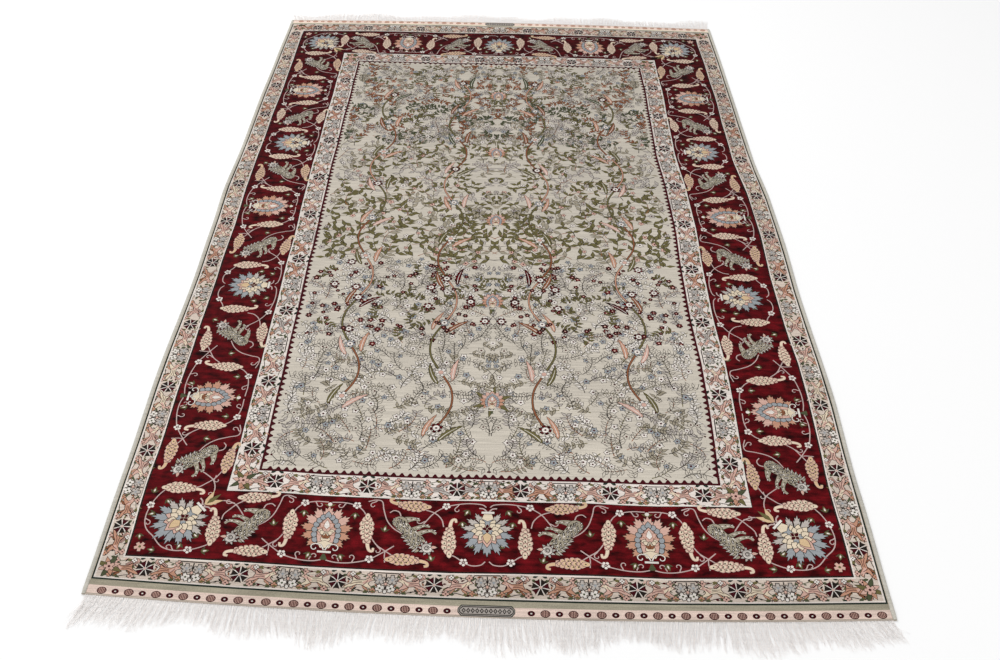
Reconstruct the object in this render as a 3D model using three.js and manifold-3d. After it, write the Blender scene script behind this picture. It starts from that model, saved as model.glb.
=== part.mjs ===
// A knotted silk pile rug with flat-woven ends and loose warp fringes, lying flat.
// Millimetres, +Z up. +X runs across the rug and +Y along it, from the near end to the far end.
import * as THREE from 'three';
import { mergeVertices } from 'three/addons/utils/BufferGeometryUtils.js';
import Module from 'manifold-3d';

const wasm = await Module();
wasm.setup();

// Driving dimensions of the woven cloth
const WOVEN_WIDTH = 1192;      // between the corners, selvedge to selvedge
const WOVEN_LENGTH = 1894;     // between the corners, flat-woven end to flat-woven end
const NEAR_BOW = 18;           // how far the middle of the near end stands past its corners
const FAR_BOW = 12;            // the same at the far end
const PILE_HEIGHT = 3.2;       // from the floor to the cut ends of the pile
const FLAT_WEAVE_HEIGHT = 1.5; // the flat-woven bands at both ends
const FLAT_WEAVE_WIDTH = 23;   // those bands, along the rug
const SELVEDGE_WIDTH = 7;      // the overcast cord along each side
const SELVEDGE_HEIGHT = 2.7;
const PILE_SWELL = 0.25;       // how much the pile's height varies over the rug

// Driving dimensions of the fringes
const GAP = 0.3;               // between the cloth and a fringe's strip
const STRIP_WIDTH = 4;         // the root strip that holds the locks of one end
const STRIP_HEIGHT = 1.3;
const LOCKS_PER_END = 140;
const LOCK_ROOT = { width: 6.4, height: 1.2 };
const LOCK_TIP = { width: 3.0, height: 0.8 };
const LOCK_TOP_SHARE = 0.6;    // a lock's flat top against its base
const LOCK_SECTIONS = 3;       // from root to tip
const STRIP_STEPS = 24;        // straight pieces that follow the end's bow

// Long and short tufts follow each other along an end. swing: share of a lock's length.
// turns: radians from the middle of the end to its corner.
const TUFT_WAVES = [
  { swing: 0.17, turns: 11.3, shift: 1 },
  { swing: 0.12, turns: 29, shift: 2 },
];

// The locks sweep this way and that together. swing: sideways at the tips.
const SWEEP_WAVES = [
  { swing: 5, turns: 9.7, shift: 1 },
  { swing: 2.5, turns: 22, shift: -1 },
];

// How far each side stands outside the straight line between its corners.
// along: -1 at the near corners and 1 at the far ones.
const SIDE_BULGES = [
  { along: -1.0, left: 0, right: 0 },
  { along: -0.75, left: 4, right: 5 },
  { along: -0.5, left: 9, right: 13 },
  { along: -0.25, left: 6, right: 11 },
  { along: -0.05, left: 9, right: 15 },
  { along: 0.1, left: 13, right: 14 },
  { along: 0.3, left: 8, right: 5 },
  { along: 0.5, left: 8, right: 4 },
  { along: 0.75, left: 4, right: 3 },
  { along: 1.0, left: 0, right: 0 },
];

// Each end's fringe. length: of a middling lock. fan: how far the outermost tips stray sideways.
// phase: where its waves start, so that the two ends differ.
const FRINGES = [
  { name: 'fringe_near', end: -1, length: 46, fan: 14, phase: 0.4 },
  { name: 'fringe_far', end: 1, length: 43, fan: 8, phase: 2.9 },
];

const HALF_WIDTH = WOVEN_WIDTH / 2;
const HALF_LENGTH = WOVEN_LENGTH / 2;

const silkPile = new THREE.MeshStandardMaterial({ color: '#a9a48c', roughness: 0.7, metalness: 0 });
const warpSilk = new THREE.MeshStandardMaterial({ color: '#efe8e4', roughness: 0.8, metalness: 0 });

// A smooth value between a table's rows, eased so that the edge has no kinks.
function sideBulge(along, side) {
  const next = SIDE_BULGES.findIndex((row) => row.along >= along);
  if (next <= 0) return 0;
  const low = SIDE_BULGES[next - 1];
  const high = SIDE_BULGES[next];
  const share = THREE.MathUtils.smoothstep(along, low.along, high.along);
  return THREE.MathUtils.lerp(low[side], high[side], share);
}

// The true place of a point of the cloth, given where it would lie on a straight-sided rug.
function layOut(x, y) {
  const across = x / HALF_WIDTH;
  const along = y / HALF_LENGTH;
  const bulge = sideBulge(THREE.MathUtils.clamp(along, -1, 1), across < 0 ? 'left' : 'right');
  const bow = along < 0 ? -NEAR_BOW * along * along : FAR_BOW * along * along;
  return new THREE.Vector2(x + across * bulge, y + bow * (1 - across * across));
}

// The pile isn't shorn quite evenly.
function pileSwell(x, y) {
  return PILE_SWELL * Math.sin(x / 97 + Math.sin(y / 211)) * Math.cos(y / 143);
}

// Distances from an outer edge at which the cloth's top changes height, with that height.
const ACROSS_PROFILE = [
  { inset: 0, height: 0.9 },
  { inset: 1.5, height: SELVEDGE_HEIGHT },
  { inset: SELVEDGE_WIDTH - 2, height: SELVEDGE_HEIGHT },
  { inset: SELVEDGE_WIDTH, height: 1.8 },
  { inset: SELVEDGE_WIDTH + 1.5, height: PILE_HEIGHT },
];
const ALONG_PROFILE = [
  { inset: 0, height: FLAT_WEAVE_HEIGHT },
  { inset: FLAT_WEAVE_WIDTH, height: FLAT_WEAVE_HEIGHT },
  { inset: FLAT_WEAVE_WIDTH + 2, height: PILE_HEIGHT },
];

// Stations from one edge to the other: the profile, even steps across the pile, the profile again.
function stations(halfSize, profile, pileSteps) {
  const last = profile.at(-1).inset;
  const span = 2 * (halfSize - last);
  const low = profile.map((row) => ({ at: row.inset - halfSize, height: row.height }));
  const pile = Array.from({ length: pileSteps - 1 }, (_, step) => (
    { at: last - halfSize + (span * (step + 1)) / pileSteps, height: PILE_HEIGHT }));
  const high = low.map((row) => ({ at: -row.at, height: row.height })).reverse();
  return [...low, ...pile, ...high];
}

// The pile, both flat-woven ends and both selvedges are one piece of weaving.
function makeCloth() {
  const columns = stations(HALF_WIDTH, ACROSS_PROFILE, 10);
  const rows = stations(HALF_LENGTH, ALONG_PROFILE, 28);
  const cloth = new THREE.BoxGeometry(2, 2, 2, columns.length - 1, rows.length - 1, 1);
  const points = cloth.attributes.position;
  for (let i = 0; i < points.count; i += 1) {
    const column = columns[Math.round(((points.getX(i) + 1) / 2) * (columns.length - 1))];
    const row = rows[Math.round(((points.getY(i) + 1) / 2) * (rows.length - 1))];
    const place = layOut(column.at, row.at);
    const onPile = column.height === PILE_HEIGHT && row.height === PILE_HEIGHT;
    const height = Math.min(column.height, row.height) + (onPile ? pileSwell(column.at, row.at) : 0);
    points.setXYZ(i, place.x, place.y, points.getZ(i) > 0 ? height : 0);
  }
  return cloth;
}

// One closed solid of a geometry's points alone, for joining.
function solid(geometry) {
  const bare = geometry.clone();
  bare.deleteAttribute('normal');
  bare.deleteAttribute('uv');
  const merged = mergeVertices(bare);
  return new wasm.Manifold(new wasm.Mesh({
    numProp: 3,
    vertProperties: new Float32Array(merged.attributes.position.array),
    triVerts: new Uint32Array(merged.index.array),
  }));
}

function geometryOf(manifold) {
  const mesh = manifold.getMesh();
  const geometry = new THREE.BufferGeometry();
  geometry.setAttribute('position', new THREE.BufferAttribute(mesh.vertProperties, 3));
  geometry.setIndex(new THREE.BufferAttribute(mesh.triVerts, 1));
  geometry.computeVertexNormals();
  return geometry;
}

// The narrow strip of warp roots that runs along one bowed end of the cloth.
function makeStrip(end) {
  const strip = new THREE.BoxGeometry(2, 1, 1, STRIP_STEPS, 1, 1);
  const points = strip.attributes.position;
  for (let i = 0; i < points.count; i += 1) {
    const edge = layOut(points.getX(i) * (HALF_WIDTH - 1), end * HALF_LENGTH);
    const outward = points.getY(i) * end > 0 ? GAP + STRIP_WIDTH : GAP;
    points.setXYZ(i, edge.x, edge.y + end * outward, points.getZ(i) > 0 ? STRIP_HEIGHT : 0);
  }
  return strip;
}

function sumOfWaves(waves, phase, across) {
  return waves.reduce((sum, wave) => (
    sum + wave.swing * Math.sin(wave.turns * across + wave.shift * phase)), 0);
}

// A lock's reach past the middle of the strip.
function lockLength(fringe, across) {
  return fringe.length * (1 + sumOfWaves(TUFT_WAVES, fringe.phase, across));
}

// How far a lock has strayed sideways at a share of its length, fanned out at the corners.
function lockStray(fringe, across, share) {
  const fan = fringe.fan * across ** 5;
  const sweep = sumOfWaves(SWEEP_WAVES, fringe.phase, across);
  return (fan + sweep) * share ** 1.5;
}

// A tapered bundle of loose warps with a flat base, level on the floor from root to tip.
function makeLock(fringe, across) {
  const lock = new THREE.BoxGeometry(1, 1, 1, 1, LOCK_SECTIONS, 1);
  const root = layOut(across * (HALF_WIDTH - LOCK_ROOT.width), fringe.end * HALF_LENGTH);
  const rootInset = GAP + STRIP_WIDTH / 2;
  const points = lock.attributes.position;
  for (let i = 0; i < points.count; i += 1) {
    const share = points.getY(i) + 0.5;
    const top = points.getZ(i) > 0;
    const width = THREE.MathUtils.lerp(LOCK_ROOT.width, LOCK_TIP.width, share);
    const height = THREE.MathUtils.lerp(LOCK_ROOT.height, LOCK_TIP.height, share);
    const reach = rootInset + share * lockLength(fringe, across);
    const side = points.getX(i) * fringe.end * width * (top ? LOCK_TOP_SHARE : 1);
    points.setXYZ(
      i,
      root.x + lockStray(fringe, across, share) + side,
      root.y + fringe.end * reach,
      top ? height : 0,
    );
  }
  return lock;
}

// All locks of one end, apart but for their roots in the strip.
function makeFringe(fringe) {
  const locks = Array.from({ length: LOCKS_PER_END }, (_, k) => (
    solid(makeLock(fringe, (2 * (k + 0.5)) / LOCKS_PER_END - 1))));
  return geometryOf(wasm.Manifold.union([solid(makeStrip(fringe.end)), ...locks]));
}

function named(name, geometry, material) {
  const mesh = new THREE.Mesh(geometry, material);
  mesh.name = name;
  return mesh;
}

const rug = new THREE.Group();
rug.add(named('cloth', makeCloth(), silkPile));
FRINGES.forEach((fringe) => rug.add(named(fringe.name, makeFringe(fringe), warpSilk)));

// The origin is at the middle of the rug's own box, on the floor.
const centre = new THREE.Box3().setFromObject(rug).getCenter(new THREE.Vector3());
rug.position.set(-centre.x, -centre.y, 0);

export default rug;
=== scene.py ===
import math
import random

import bpy
import numpy as np
from mathutils import Matrix, Vector
from mathutils.geometry import delaunay_2d_cdt


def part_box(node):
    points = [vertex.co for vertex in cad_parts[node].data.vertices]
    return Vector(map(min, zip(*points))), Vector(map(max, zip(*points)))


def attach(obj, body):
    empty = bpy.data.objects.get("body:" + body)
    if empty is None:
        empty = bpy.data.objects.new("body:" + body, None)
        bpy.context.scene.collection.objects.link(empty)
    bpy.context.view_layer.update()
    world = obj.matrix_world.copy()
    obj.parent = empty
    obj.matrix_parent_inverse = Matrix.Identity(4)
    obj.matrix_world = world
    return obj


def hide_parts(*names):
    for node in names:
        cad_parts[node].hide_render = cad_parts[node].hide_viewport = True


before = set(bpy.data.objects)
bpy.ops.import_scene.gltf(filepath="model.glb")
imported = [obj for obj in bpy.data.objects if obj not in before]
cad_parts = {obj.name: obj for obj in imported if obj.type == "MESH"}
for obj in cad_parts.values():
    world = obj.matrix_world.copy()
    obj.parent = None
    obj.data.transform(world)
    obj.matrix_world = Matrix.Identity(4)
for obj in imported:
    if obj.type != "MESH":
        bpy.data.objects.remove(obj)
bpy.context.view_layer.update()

# The rug is drawn in millimetres on a straight-sided sheet, x across it and y along it from
# its middle, and then laid out to its true, slightly bulging outline in metres.
MM = 0.001
HALF_WIDTH = 596
HALF_LENGTH = 947
NEAR_BOW = 18
FAR_BOW = 12
PILE_HEIGHT = 3.2
PILE_SWELL = 0.25
FLAT_WEAVE_HEIGHT = 1.5
FLAT_WEAVE_WIDTH = 23
SELVEDGE_HEIGHT = 2.7
SELVEDGE_WIDTH = 7

# How far each side stands outside the straight line between its corners
BULGE_ALONG = [-1.0, -0.75, -0.5, -0.25, -0.05, 0.1, 0.3, 0.5, 0.75, 1.0]
BULGE_LEFT = [0, 4, 9, 6, 9, 13, 8, 8, 4, 0]
BULGE_RIGHT = [0, 5, 13, 11, 15, 14, 5, 4, 3, 0]

# The height of the top at distances in from a side and from an end
SIDE_INSETS = [0, 1.5, SELVEDGE_WIDTH - 2, SELVEDGE_WIDTH, SELVEDGE_WIDTH + 1.5]
SIDE_HEIGHTS = [0.9, SELVEDGE_HEIGHT, SELVEDGE_HEIGHT, 1.8, PILE_HEIGHT]
END_INSETS = [0, FLAT_WEAVE_WIDTH, FLAT_WEAVE_WIDTH + 2]
END_HEIGHTS = [FLAT_WEAVE_HEIGHT, FLAT_WEAVE_HEIGHT, PILE_HEIGHT]

# Where the middle of the straight-sided sheet lies in the part's frame
cloth_low, cloth_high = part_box("cloth")
MIDDLE_X = (cloth_low[0] + cloth_high[0]) / 2 - (max(BULGE_RIGHT) - max(BULGE_LEFT)) / 2 * MM
MIDDLE_Y = cloth_low[1] + (HALF_LENGTH + NEAR_BOW) * MM

# The nested frames of the pattern: half width and half length of each, from the edge inwards
PATTERN = (HALF_WIDTH - SELVEDGE_WIDTH, HALF_LENGTH)
PILE_TOP = (HALF_WIDTH - SIDE_INSETS[-1], HALF_LENGTH - END_INSETS[-1])
DARK_LINE = (PATTERN[0], PILE_TOP[1] - 0.5)
MAIN_OUTER = (547, 875)
MAIN_INNER = (417, 745)
FIELD = (372.5, 700.5)
OUTER_GUARD = (567.5, 897.5)        # along its middle
INNER_GUARD = (395.5, 723.5)

# Yarn colours, as sRGB
YARNS = {
    "crimson": "#4a060b",
    "sage": "#9a9381",
    "cream": "#cabbae",
    "pearl": "#dad0c8",
    "field": "#c4bcaf",
    "end_pink": "#d5bfb3",
    "ink": "#241d19",
    "maroon": "#3f0c13",
    "rose": "#c9a496",
    "salmon": "#b98b74",
    "rust": "#85543a",
    "gold": "#cdb18c",
    "straw": "#d8c8b0",
    "white": "#dad3cb",
    "mist": "#b0a8a1",
    "vine": "#b8a39e",
    "blue": "#94989b",
    "olive": "#665f3c",
    "leaf": "#4a4f38",
    "forest": "#273029",
    "stone": "#9a917f",
}
FINE_YARNS = ("ink", "maroon", "forest", "vine", "rust", "blue", "leaf")

# Silks outside the pattern
FOUNDATION_COLOUR = "#b9ad9b"
SELVEDGE_COLOUR = "#bcb8ae"
WARP_COLOUR = "#fbf6f3"

CALM_WIDTH = 40     # the rows of knots get straight over this width of the pile, along its edges


def ease(share):
    return share * share * (3 - 2 * share)


def bulge(along, values):
    """A side's bulge at places from -1 to 1 along it, eased between the stations."""
    stations = np.array(BULGE_ALONG)
    values = np.array(values, float)
    after = np.clip(np.searchsorted(stations, along), 1, len(stations) - 1)
    share = (along - stations[after - 1]) / (stations[after] - stations[after - 1])
    share = ease(np.clip(share, 0, 1))
    return values[after - 1] + (values[after] - values[after - 1]) * share


def lay_out(x, y):
    """The true place, in metres, of points of the straight-sided sheet."""
    across = x / HALF_WIDTH
    along = y / HALF_LENGTH
    side = np.where(across < 0, bulge(along, BULGE_LEFT), bulge(along, BULGE_RIGHT))
    bow = np.where(along < 0, -NEAR_BOW, FAR_BOW) * along ** 2
    true_x = x + across * side
    true_y = y + bow * (1 - across ** 2)
    return true_x * MM + MIDDLE_X, true_y * MM + MIDDLE_Y


def wander(x, y):
    """Rows of knots aren't quite straight, apart from those along the edges."""
    inside = np.clip((PATTERN[0] - np.abs(x)) / CALM_WIDTH, 0, 1)
    inside = inside * np.clip((HALF_LENGTH - FLAT_WEAVE_WIDTH - np.abs(y)) / CALM_WIDTH, 0, 1)
    step_x = 1.3 * np.sin(y / 83 + 1.1) + 0.7 * np.sin(y / 31 + x / 190)
    step_y = 1.3 * np.sin(x / 71 + 0.4) + 0.7 * np.sin(x / 27 + y / 170)
    return x + inside * step_x, y + inside * step_y


def top_height(x, y):
    """The height of the pile, of the flat-woven ends and of the slopes beside them, in mm."""
    across = np.interp(HALF_WIDTH - np.abs(x), SIDE_INSETS, SIDE_HEIGHTS)
    along = np.interp(HALF_LENGTH - np.abs(y), END_INSETS, END_HEIGHTS)
    height = np.minimum(across, along)
    swell = PILE_SWELL * np.sin(x / 97 + np.sin(y / 211)) * np.cos(y / 143)
    return height + np.where(height >= PILE_HEIGHT, swell, 0)


# Outlines, as arrays of points in millimetres


def turned(outline, degrees):
    c, s = math.cos(math.radians(degrees)), math.sin(math.radians(degrees))
    return np.asarray(outline, float) @ np.array([[c, s], [-s, c]])


def polar(radius, degrees):
    return np.array([radius * math.cos(math.radians(degrees)), radius * math.sin(math.radians(degrees))])


def oval(half_x, half_y, at=(0, 0), turn=0, points=12):
    angles = np.arange(points) * math.tau / points
    ring = np.stack([half_x * np.cos(angles), half_y * np.sin(angles)], 1)
    return turned(ring, turn) + at


def rectangle(half_x, half_y):
    return np.array([(-half_x, -half_y), (half_x, -half_y), (half_x, half_y), (-half_x, half_y)], float)


def mirrored(right_side):
    """A closed outline from the points of its right side, from its base to its tip."""
    right = np.asarray(right_side, float)
    left = right[::-1] * (-1, 1)
    return np.concatenate([right, left[left[:, 0] < 0]])


def leaf(length, width, bend=0):
    """A pointed leaf from the origin along +Y, its tip bent sideways."""
    along = np.array([0, 0.3, 0.65, 1])
    half = np.array([0, 0.5, 0.38, 0]) * width
    right = np.stack([half + bend * along ** 2, along * length], 1)
    left = np.stack([-half + bend * along ** 2, along * length], 1)
    return np.concatenate([right, left[-2:0:-1]])


def blade(length, width, bend=0):
    """The smallest kind of leaf."""
    return np.array([(0, 0), (width / 2, length * 0.42), (bend, length), (-width / 2, length * 0.42)])


def flame(length, width):
    """A petal with two teeth on each side."""
    return mirrored([
        (0.34 * width, 0), (0.46 * width, 0.25 * length), (0.6 * width, 0.56 * length),
        (0.38 * width, 0.5 * length), (0.4 * width, 0.8 * length), (0.17 * width, 0.72 * length),
        (0, length),
    ])


def smooth(knots, steps=6):
    """A smooth path through its knots."""
    knots = np.asarray(knots, float)
    padded = np.concatenate([[2 * knots[0] - knots[1]], knots, [2 * knots[-1] - knots[-2]]])
    t = (np.arange(steps) / steps)[:, None]
    path = []
    for before, start, end, after in zip(padded, padded[1:], padded[2:], padded[3:]):
        slope = end - before
        curve = 2 * before - 5 * start + 4 * end - after
        twist = 3 * (start - end) + after - before
        path.append(start + 0.5 * t * (slope + t * (curve + t * twist)))
    return np.concatenate([*path, knots[-1:]])


def spiral(at, radius, start, sweep, inward=0.25, steps=10):
    """A path that curls in about a centre, from one angle through a sweep, in degrees."""
    share = np.linspace(0, 1, steps)
    angles = np.radians(start + sweep * share)
    reach = radius * (1 - (1 - inward) * share)
    return np.stack([reach * np.cos(angles), reach * np.sin(angles)], 1) + at


def units(vectors):
    """The same vectors, each with a length of one."""
    return vectors / np.maximum(np.linalg.norm(vectors, axis=1), 1e-6)[:, None]


def ribbon(path, width, tip=None):
    """The outline of a band along a path, with its width eased to that of its tip. The width may
    be several values, from the path's start to its end."""
    path = np.asarray(path, float)
    ahead = units(np.gradient(path, axis=0))
    aside = np.stack([-ahead[:, 1], ahead[:, 0]], 1)
    widths = np.atleast_1d(width if tip is None else (width, tip))
    half = np.interp(np.linspace(0, 1, len(path)), np.linspace(0, 1, len(widths)), widths) / 2
    return np.concatenate([path + aside * half[:, None], (path - aside * half[:, None])[::-1]])


SHARPEST = 0.8      # the least length of two edges' summed normals, so that no spike grows long


def grown(outline, line):
    """An outline moved outwards by the width of a line."""
    before = np.roll(outline, 1, axis=0)
    after = np.roll(outline, -1, axis=0)
    area = np.sum(outline[:, 0] * after[:, 1] - after[:, 0] * outline[:, 1])
    first = units(outline - before)
    second = units(after - outline)
    normal = np.stack([first[:, 1] + second[:, 1], -first[:, 0] - second[:, 0]], 1)
    length = np.maximum(np.linalg.norm(normal, axis=1), SHARPEST)
    return outline + normal / length[:, None] ** 2 * 2 * line * math.copysign(1, area)


# The way along each side of the rug, and the way out of it
SIDES = {
    "near": ((1, 0), (0, -1)),
    "far": ((1, 0), (0, 1)),
    "right": ((0, 1), (1, 0)),
    "left": ((0, 1), (-1, 0)),
}
UPRIGHT_SIDES = ("left", "right")
CORNERS = [(1, 1), (1, -1), (-1, 1), (-1, -1)]


class Design:
    """Shapes in painting order: each a closed outline and the name of its yarn."""

    def __init__(self):
        self.shapes = []

    def fill(self, outline, yarn, edge=None, line=0.9):
        outline = np.asarray(outline, float)
        if edge:
            self.shapes.append((grown(outline, line), edge))
        self.shapes.append((outline, yarn))

    def stroke(self, path, width, yarn, tip=None, edge=None, line=0.6):
        if edge:
            rim = np.asarray(width) + 2 * line
            self.shapes.append((ribbon(path, rim, None if tip is None else tip + 2 * line), edge))
        self.shapes.append((ribbon(path, width, tip), yarn))

    def place(self, other, at=(0, 0), turn=0, size=1.0, flip=False):
        for outline, yarn in other.shapes:
            if flip:
                outline = outline * (-1, 1)
            self.shapes.append((turned(outline * size, turn) + at, yarn))

    def mirror(self, other, x=1, y=1):
        for outline, yarn in other.shapes:
            self.shapes.append((outline * (x, y), yarn))

    def lay(self, other, side, along, out, forward=1):
        """Places a design whose +X runs along a side of the rug, and whose +Y runs out of it."""
        axes = np.array(SIDES[side], float)
        origin = axes[0] * along + axes[1] * out
        axes[0] *= forward
        for outline, yarn in other.shapes:
            self.shapes.append((outline @ axes + origin, yarn))


# Motifs of the main border


def blossom(petal, heart, radius, petals=5, line=0.6):
    """A small open flower with rounded petals."""
    design = Design()
    ring = [polar(radius * reach, 360 * (k + shift) / petals + 90)
            for k in range(petals) for shift, reach in ((-0.5, 0.5), (-0.22, 0.98), (0.22, 0.98))]
    design.fill(ring, petal, "ink", line)
    design.fill(oval(radius * 0.28, radius * 0.28, points=5), heart)
    return design


def white_flower(radius=7):
    """Five round white petals about a pale heart, as they lie on the crimson."""
    design = Design()
    for k in range(5):
        middle = polar(radius * 0.64, 72 * k + 90)
        design.fill(oval(radius * 0.36, radius * 0.33, middle, 72 * k, 7), "white")
    design.fill(oval(radius * 0.22, radius * 0.22, points=5), "mist", "maroon", 0.7)
    return design


def bud(length, width):
    """A green bud with a pale heart between two leaves."""
    design = Design()
    for side in (-1, 1):
        design.fill(turned(leaf(length * 0.8, width * 0.5, 2 * side), -36 * side), "leaf")
    design.fill(leaf(length, width), "olive", "ink", 0.5)
    design.fill(leaf(length * 0.5, width * 0.42) + (0, length * 0.22), "white")
    return design


# A hanging bunch: how far along it its rows of scales stand, and how wide they are
BUNCH_ROWS = [(0.06, 0.66), (0.18, 0.98), (0.31, 1.0), (0.44, 0.88), (0.56, 0.7), (0.67, 0.48)]


def bunch(yarn="straw", length=64, width=21):
    """Overlapping scales with dark seeds and a curled tip. Its fat end is at the origin."""
    design = Design()
    tip = smooth([(3.5, 0.66 * length), (4, 0.82 * length), (7, 0.95 * length), (12, 0.97 * length),
                  (13, 0.88 * length)], 3)
    design.stroke(tip, 5, yarn, 2.6, "rose", 0.7)
    for along, breadth in reversed(BUNCH_ROWS):
        lean = 5 * along ** 2
        for side in (-1, 1, 0):
            x = side * (breadth * width / 2 - 4.2) + lean
            y = (along - 0.06 * (side == 0)) * length
            turn = 90 - 40 * side
            design.fill(oval(7, 4.3, (x, y), turn, 8), "rose", "ink", 0.6)
            design.fill(oval(5.6, 3.4, (x - 0.4 * side, y - 0.6), turn, 7), yarn)
            design.fill(oval(1.5, 1.5, (x + 0.5 * side, y + 0.2), points=4), "ink")
    return design


def petal_ring(design, count, reach, petal, yarn, spread, growth, edge, line):
    """Petals round a centre, from both flanks to the tip at +Y, each larger towards the tip.
    reach gives the half width and the half height of the ring that the petals stand on. Two yarns
    are those of the petals by the tip and of the ones low on the flanks."""
    order = sorted(range(count), key=lambda k: -abs(k - (count - 1) / 2))
    for k in order:
        angle = (k / (count - 1) - 0.5) * spread
        own = yarn if isinstance(yarn, str) else yarn[abs(angle) > 80]
        towards_tip = (1 + math.cos(math.radians(angle))) / 2
        base = (math.sin(math.radians(angle)) * reach[0], math.cos(math.radians(angle)) * reach[1])
        outline = turned(petal * (1 + growth * (towards_tip - 0.5)), -angle) + base
        design.fill(outline, own, edge, line)


def volutes(design, at_y):
    """Two pale scrolls and a bar at the foot of a palmette, over its forked stem."""
    for side in (-1, 1):
        rise = smooth([(1 * side, at_y + 3), (6 * side, at_y + 12), (14 * side, at_y + 14)], 4)
        curl = spiral((15.5 * side, at_y + 7), 6.5, 90 - 20 * side, -250 * side, 0.3, 9)
        design.stroke(np.concatenate([rise, curl]), 1.9, "white", 1.4, "ink", 0.5)
    design.fill(rectangle(10.5, 1.7) + (0, at_y), "white", "ink", 0.6)
    design.fill(mirrored([(3, at_y - 14), (6, at_y - 13), (1.5, at_y - 3)]), "leaf")


# Where the right half of a pink palmette's arch has its lobes, from its foot to its top
ARCH = [(16.5, -17), (18.5, -8), (18.6, 1.5), (16.6, 10.5), (12.6, 18.4), (7.2, 24.6)]


def pink_palmette():
    """Rose petals round an arch of blue lobes, a flame and a straw heart. Its tip points along +Y."""
    design = Design()
    petal_ring(design, 11, (19, 22), flame(22, 12.5), ("rose", "salmon"), 268, 0.3, "ink", 0.9)
    design.fill(oval(23, 25.5, points=18), "salmon")
    design.fill(oval(22, 25, (0, 3), points=18), "rose")
    for x, y in ARCH:
        for side in (-1, 1):
            design.fill(oval(4.3, 5, (x * side, y), points=8), "blue", "ink", 0.9)
    design.fill(leaf(14, 10) + (0, 22), "blue", "ink", 0.9)
    design.fill(mirrored([(11, -24), (14, -10), (13.4, 2), (10, 12), (5, 19), (0, 25)]), "rose", "ink", 0.9)
    petal_ring(design, 7, (6, 8), leaf(9, 7.5), "rose", 230, 0.2, "rust", 0.7)
    design.fill(leaf(17, 9) + (0, 3), "white", "rust", 0.8)
    petal_ring(design, 5, (5, -9), leaf(8, 7), "straw", 170, 0.1, "ink", 0.7)
    design.fill(leaf(19, 15) + (0, -22), "straw", "ink", 0.8)
    for angle in (-50, 0, 50):
        design.fill(turned(leaf(9, 4.6), angle) + (0, -14), "rust", "ink", 0.5)
    design.fill(mirrored([(7, -31), (12, -22), (0, -18)]), "straw", "ink", 0.7)
    volutes(design, -38)
    for side in (-1, 1):
        design.fill(turned(leaf(12, 4), 70 * side) + (2 * side, 46), "olive")
    design.fill(oval(3.6, 3.6, (0, 50), points=8), "white")
    return design


def blue_palmette(tip=30):
    """Jagged blue petals round pale scales and a dark heart. Its tip points along +Y."""
    design = Design()
    petal_ring(design, 13, (16, 17), flame(26, 9.6), ("blue", "mist"), 296, 0.4, "ink", 0.9)
    design.fill(oval(19, 21, points=18), "blue")
    design.fill(flame(tip, 14) + (0, 17), "blue", "ink", 0.9)
    petal_ring(design, 11, (12, 12), leaf(13, 10), ("rose", "straw"), 300, 0.3, "ink", 0.9)
    petal_ring(design, 9, (7.5, 8), leaf(12, 10), "straw", 280, 0.35, "ink", 0.9)
    design.fill(leaf(27, 17) + (0, 3), "rose", "ink", 0.8)
    design.fill(leaf(20, 13) + (0, 3), "gold", "ink", 0.8)
    for angle in (0, 90, 180, 270):
        design.fill(turned(leaf(8.4, 6.4), angle) + (0, -4), "maroon", "straw", 0.4)
    design.fill(mirrored([(6, -31), (9, -22), (0, -18)]), "straw", "ink", 0.7)
    design.fill(rectangle(10, 1.9) + (0, -34), "white", "ink", 0.7)
    for side in (-1, 1):
        design.stroke(smooth([(2 * side, -36), (7 * side, -41), (14 * side, -42)], 4), 2.2, "vine")
    return design


def limb(design, knots, width):
    """A leg with ticks of dark and pale silk across it."""
    path = smooth(knots, 4)
    design.stroke(path, width, "stone", None, "ink", 0.9)
    for number, point in enumerate(path[2:-2]):
        tick = turned(leaf(4.6, 1.6), 60 + 50 * (number % 2)) + point - (1, 1)
        design.fill(tick, ("ink", "white", "mist")[number % 3])


def spots(design, draw, middle, half_width, count):
    """A row of rings and ticks across an animal's body, which lies aslant."""
    for number, place in enumerate(np.linspace(-half_width, half_width, count)):
        spot = middle + turned([(draw.uniform(-1.2, 1.2), place + draw.uniform(-1, 1))], -45)[0]
        if number % 2:
            design.fill(oval(2.7, 2.2, spot, 45, 6), "ink")
            design.fill(oval(1.5, 1.1, spot, 45, 4), draw.choice(("mist", "white", "white")))
        else:
            yarn = draw.choice(("ink", "white", "ink", "mist"))
            design.fill(turned(leaf(5.4, 2.2), draw.uniform(15, 75)) + spot - (1.5, -1.5), yarn)


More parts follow.
